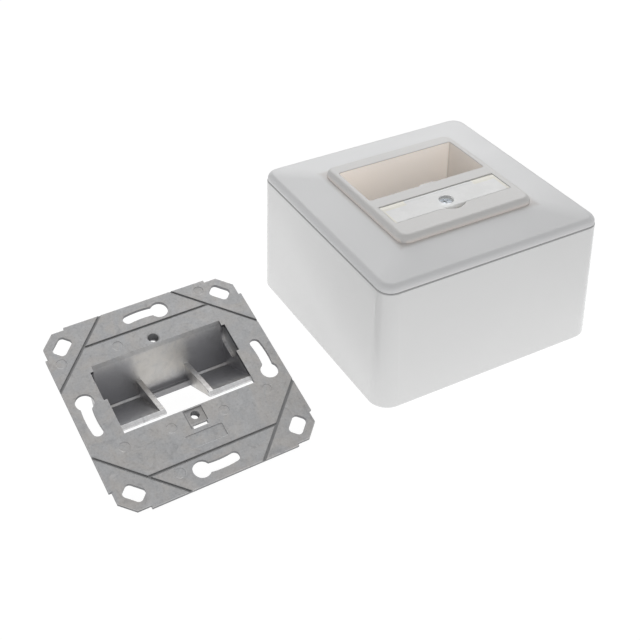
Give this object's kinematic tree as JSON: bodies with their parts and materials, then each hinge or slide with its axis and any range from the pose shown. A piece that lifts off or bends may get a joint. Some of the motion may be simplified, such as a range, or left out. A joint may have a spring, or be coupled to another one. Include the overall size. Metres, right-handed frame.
{
  "type": "surface mount jack box",
  "caption": "Square surface mount jack box with a raised centre plate, module opening and label field, and its die-cast module carrier lying beside it.",
  "frame": {"origin": "centre of the housing's back, which lies on z = 0", "axes": "+Z out of the wall through the cover, +Y towards the side with the module opening, +X to the right seen from the front; the carrier lies beside the box on -X"},
  "size_m": [0.1798, 0.0911, 0.0517],
  "materials": {
    "housing": "glossy moulded",
    "frame": "smooth satin moulded",
    "plate": "smooth satin moulded",
    "window": "clear moulded",
    "card": "matt card",
    "screw_zinc": "bright plated",
    "casting": "bare die cast, mottled"
  },
  "bodies": {
    "root": {"surface_housing": "housing", "cover_frame": "frame", "centre_plate": "plate", "label_card": "card", "cover_screw": "screw_zinc", "carrier_screws": "screw_zinc", "module_carrier": "casting"},
    "window": {"label_window": "window"}
  },
  "joints": [
    {"name": "label_window_hinge", "type": "hinge", "parent": "root", "child": "window", "pos_m": [0, -0.0069, 0.0508], "axis": [-1, 0, 0], "range_deg": [0, 65]}
  ]
}
